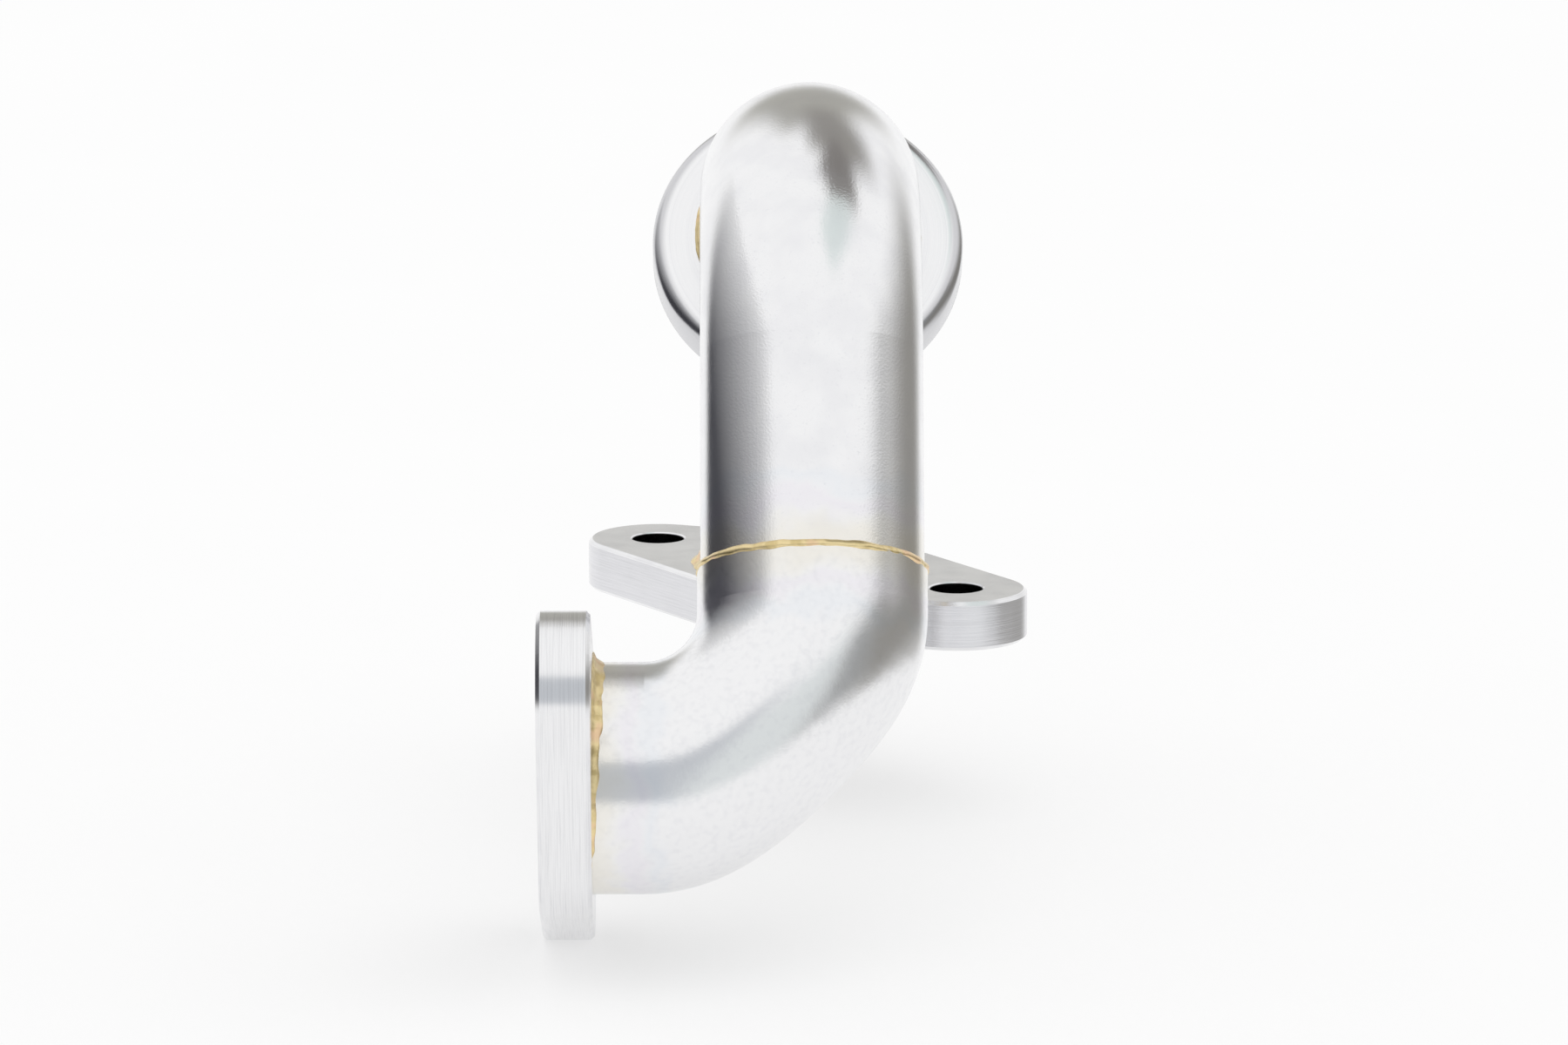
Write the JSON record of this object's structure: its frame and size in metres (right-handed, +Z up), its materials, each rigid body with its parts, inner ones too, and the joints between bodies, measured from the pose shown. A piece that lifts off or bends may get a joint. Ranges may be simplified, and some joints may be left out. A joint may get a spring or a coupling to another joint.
{
  "type": "exhaust gas recirculation pipe",
  "caption": "Bent steel gas pipe with a round collar, a brazed tight elbow and a two-bolt flange at each end, facing down at the rear and left at the front.",
  "frame": {"origin": "centre of the rear flange's mating face, on the axis of its bore", "axes": "+Z up the rear leg, away from the rear flange's mating face; -Y towards the front, where the pipe comes down; -X out of the lower flange"},
  "size_m": [0.0767, 0.1898, 0.1265],
  "materials": {
    "tube_steel": "fine satin, polished after bending",
    "elbow_steel": "fine satin, polished after pressing",
    "flange_steel": "satin, with straight brush lines along its edge",
    "collar_steel": "turned, with fine rings round its edge",
    "braze": "satin, as brazed"
  },
  "bodies": {
    "root": {"rear_flange": "flange_steel", "rear_flange_braze": "braze", "main_pipe": "tube_steel", "collar": "collar_steel", "collar_back_braze": "braze", "collar_front_braze": "braze", "joint_braze": "braze", "lower_elbow": "elbow_steel", "lower_flange_braze": "braze", "lower_flange": "flange_steel"}
  },
  "joints": []
}
